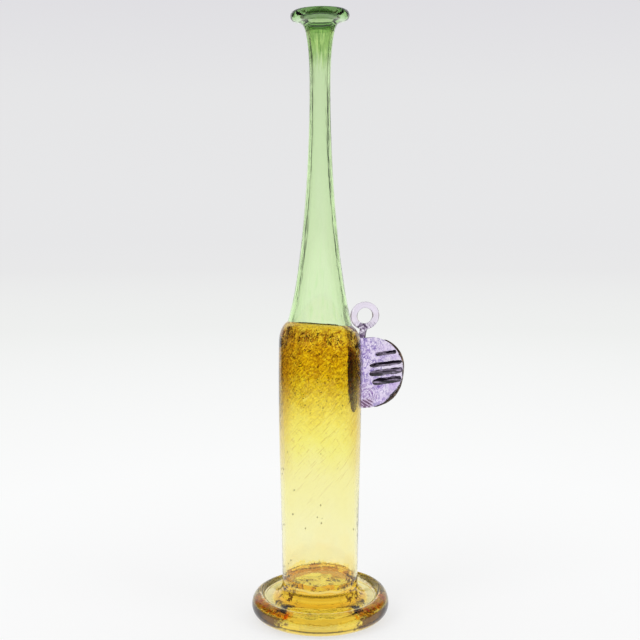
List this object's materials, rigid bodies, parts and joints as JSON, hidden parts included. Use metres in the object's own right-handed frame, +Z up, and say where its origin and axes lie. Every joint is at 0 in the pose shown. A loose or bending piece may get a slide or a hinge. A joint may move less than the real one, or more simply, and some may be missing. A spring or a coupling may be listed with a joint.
{
  "type": "art glass bottle vase",
  "caption": "Tall blown glass bottle vase: slim green neck and lip over an amber cylinder on a thick disc foot, with a lilac side medallion and loop.",
  "frame": {"origin": "on the vase's axis at the middle of the foot's flat underside", "axes": "+Z up along the vase's axis, +X to the right and -Y to the front; the medallion stands out between +X and +Y"},
  "size_m": [0.1037, 0.092, 0.4],
  "materials": {
    "foot_amber": "gloss",
    "body_amber": "gloss",
    "neck_green": "gloss",
    "lip_green": "gloss",
    "medallion_lilac": "gloss",
    "loop_lilac": "gloss",
    "cane_aubergine": "gloss",
    "trail_smoke": "gloss"
  },
  "bodies": {
    "root": {"foot": "foot_amber", "body": "body_amber", "neck": "neck_green", "lip": "lip_green", "medallion": "medallion_lilac", "loop": "loop_lilac", "cane_1": "cane_aubergine", "cane_2": "cane_aubergine", "cane_3": "cane_aubergine", "cane_4": "cane_aubergine", "edge_trail": "trail_smoke"}
  },
  "joints": []
}
